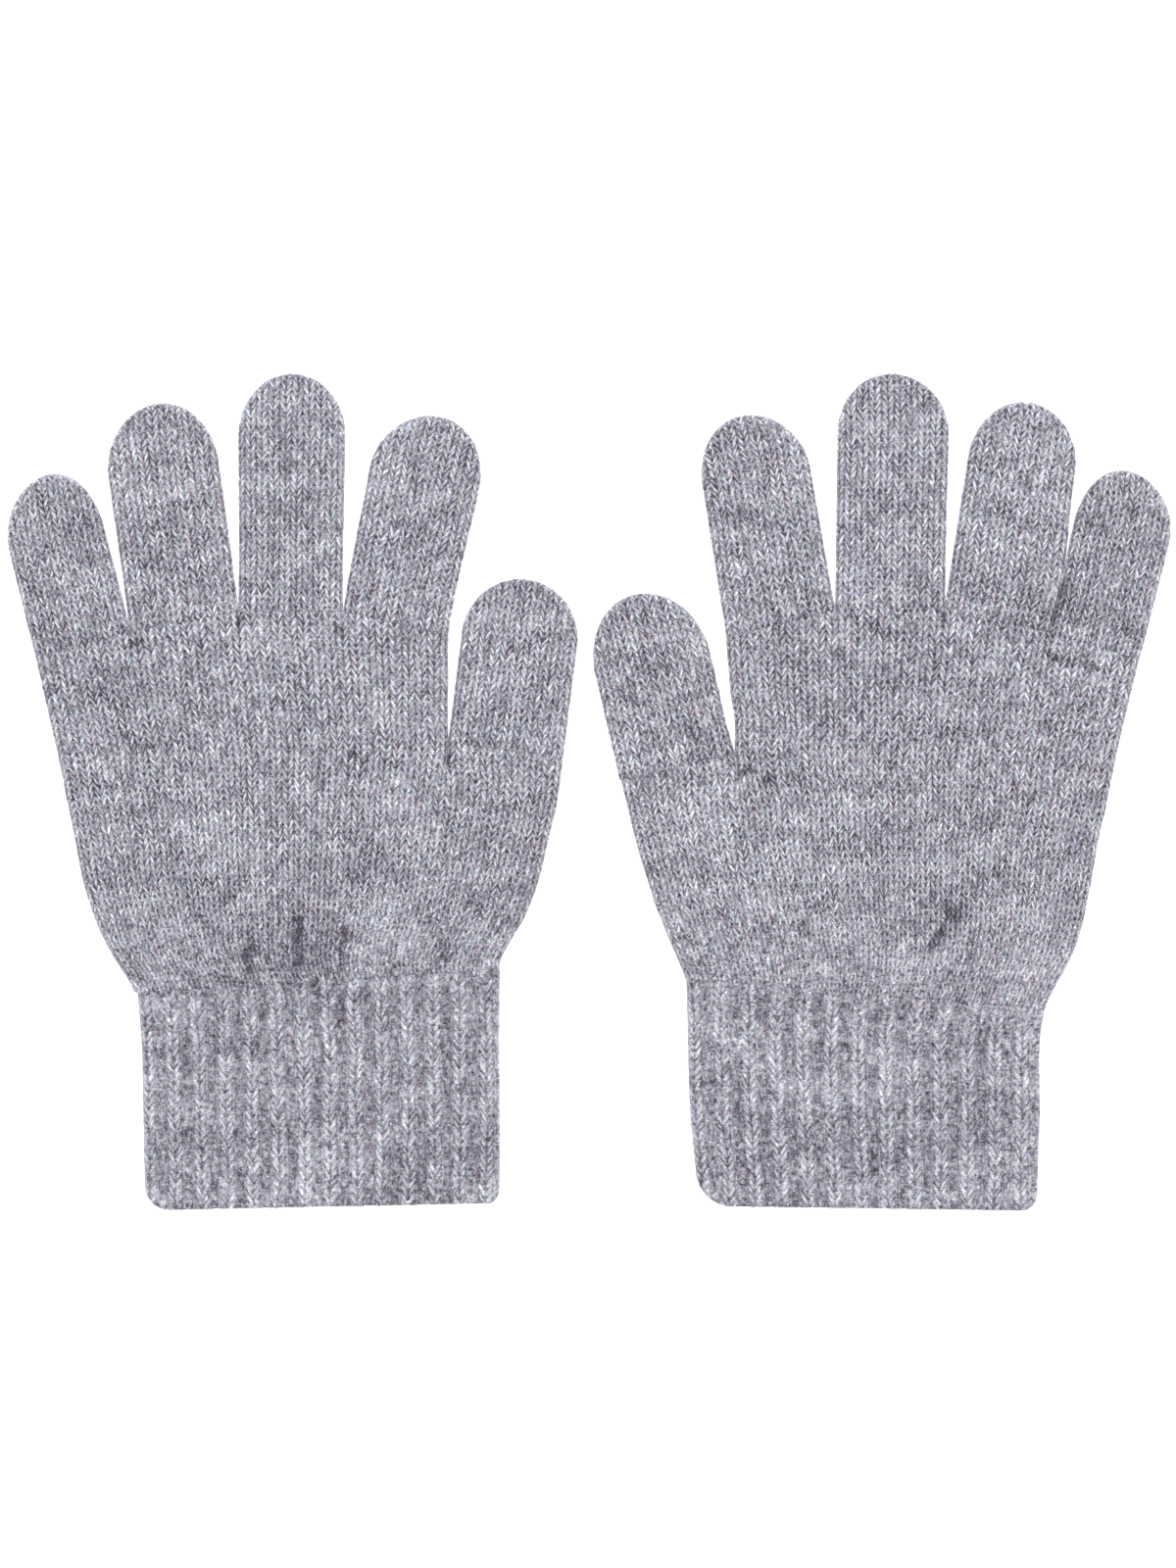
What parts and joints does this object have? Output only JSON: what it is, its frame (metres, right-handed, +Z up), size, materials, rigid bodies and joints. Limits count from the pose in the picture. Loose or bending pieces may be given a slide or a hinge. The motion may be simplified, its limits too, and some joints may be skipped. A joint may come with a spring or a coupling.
{
  "type": "pair of knitted gloves",
  "caption": "Pair of plain knitted gloves with ribbed cuffs, laid flat beside each other with the backs of the hands up.",
  "frame": {"origin": "bottom centre of the pair's bounding box, on the surface that the gloves lie on", "axes": "+X across the pair to the right hand's glove, +Y from the hems to the fingertips, +Z up from the surface"},
  "size_m": [0.2915, 0.2096, 0.005],
  "materials": {
    "plain_knit": "matte, softly fuzzy melange yarn",
    "rib_knit": "matte, softly fuzzy melange yarn"
  },
  "bodies": {
    "root": {"left_cuff": "rib_knit", "left_hand": "plain_knit", "left_thumb": "plain_knit", "left_index_finger": "plain_knit", "left_middle_finger": "plain_knit", "left_ring_finger": "plain_knit", "left_little_finger": "plain_knit", "right_cuff": "rib_knit", "right_hand": "plain_knit", "right_thumb": "plain_knit", "right_index_finger": "plain_knit", "right_middle_finger": "plain_knit", "right_ring_finger": "plain_knit", "right_little_finger": "plain_knit"}
  },
  "joints": []
}
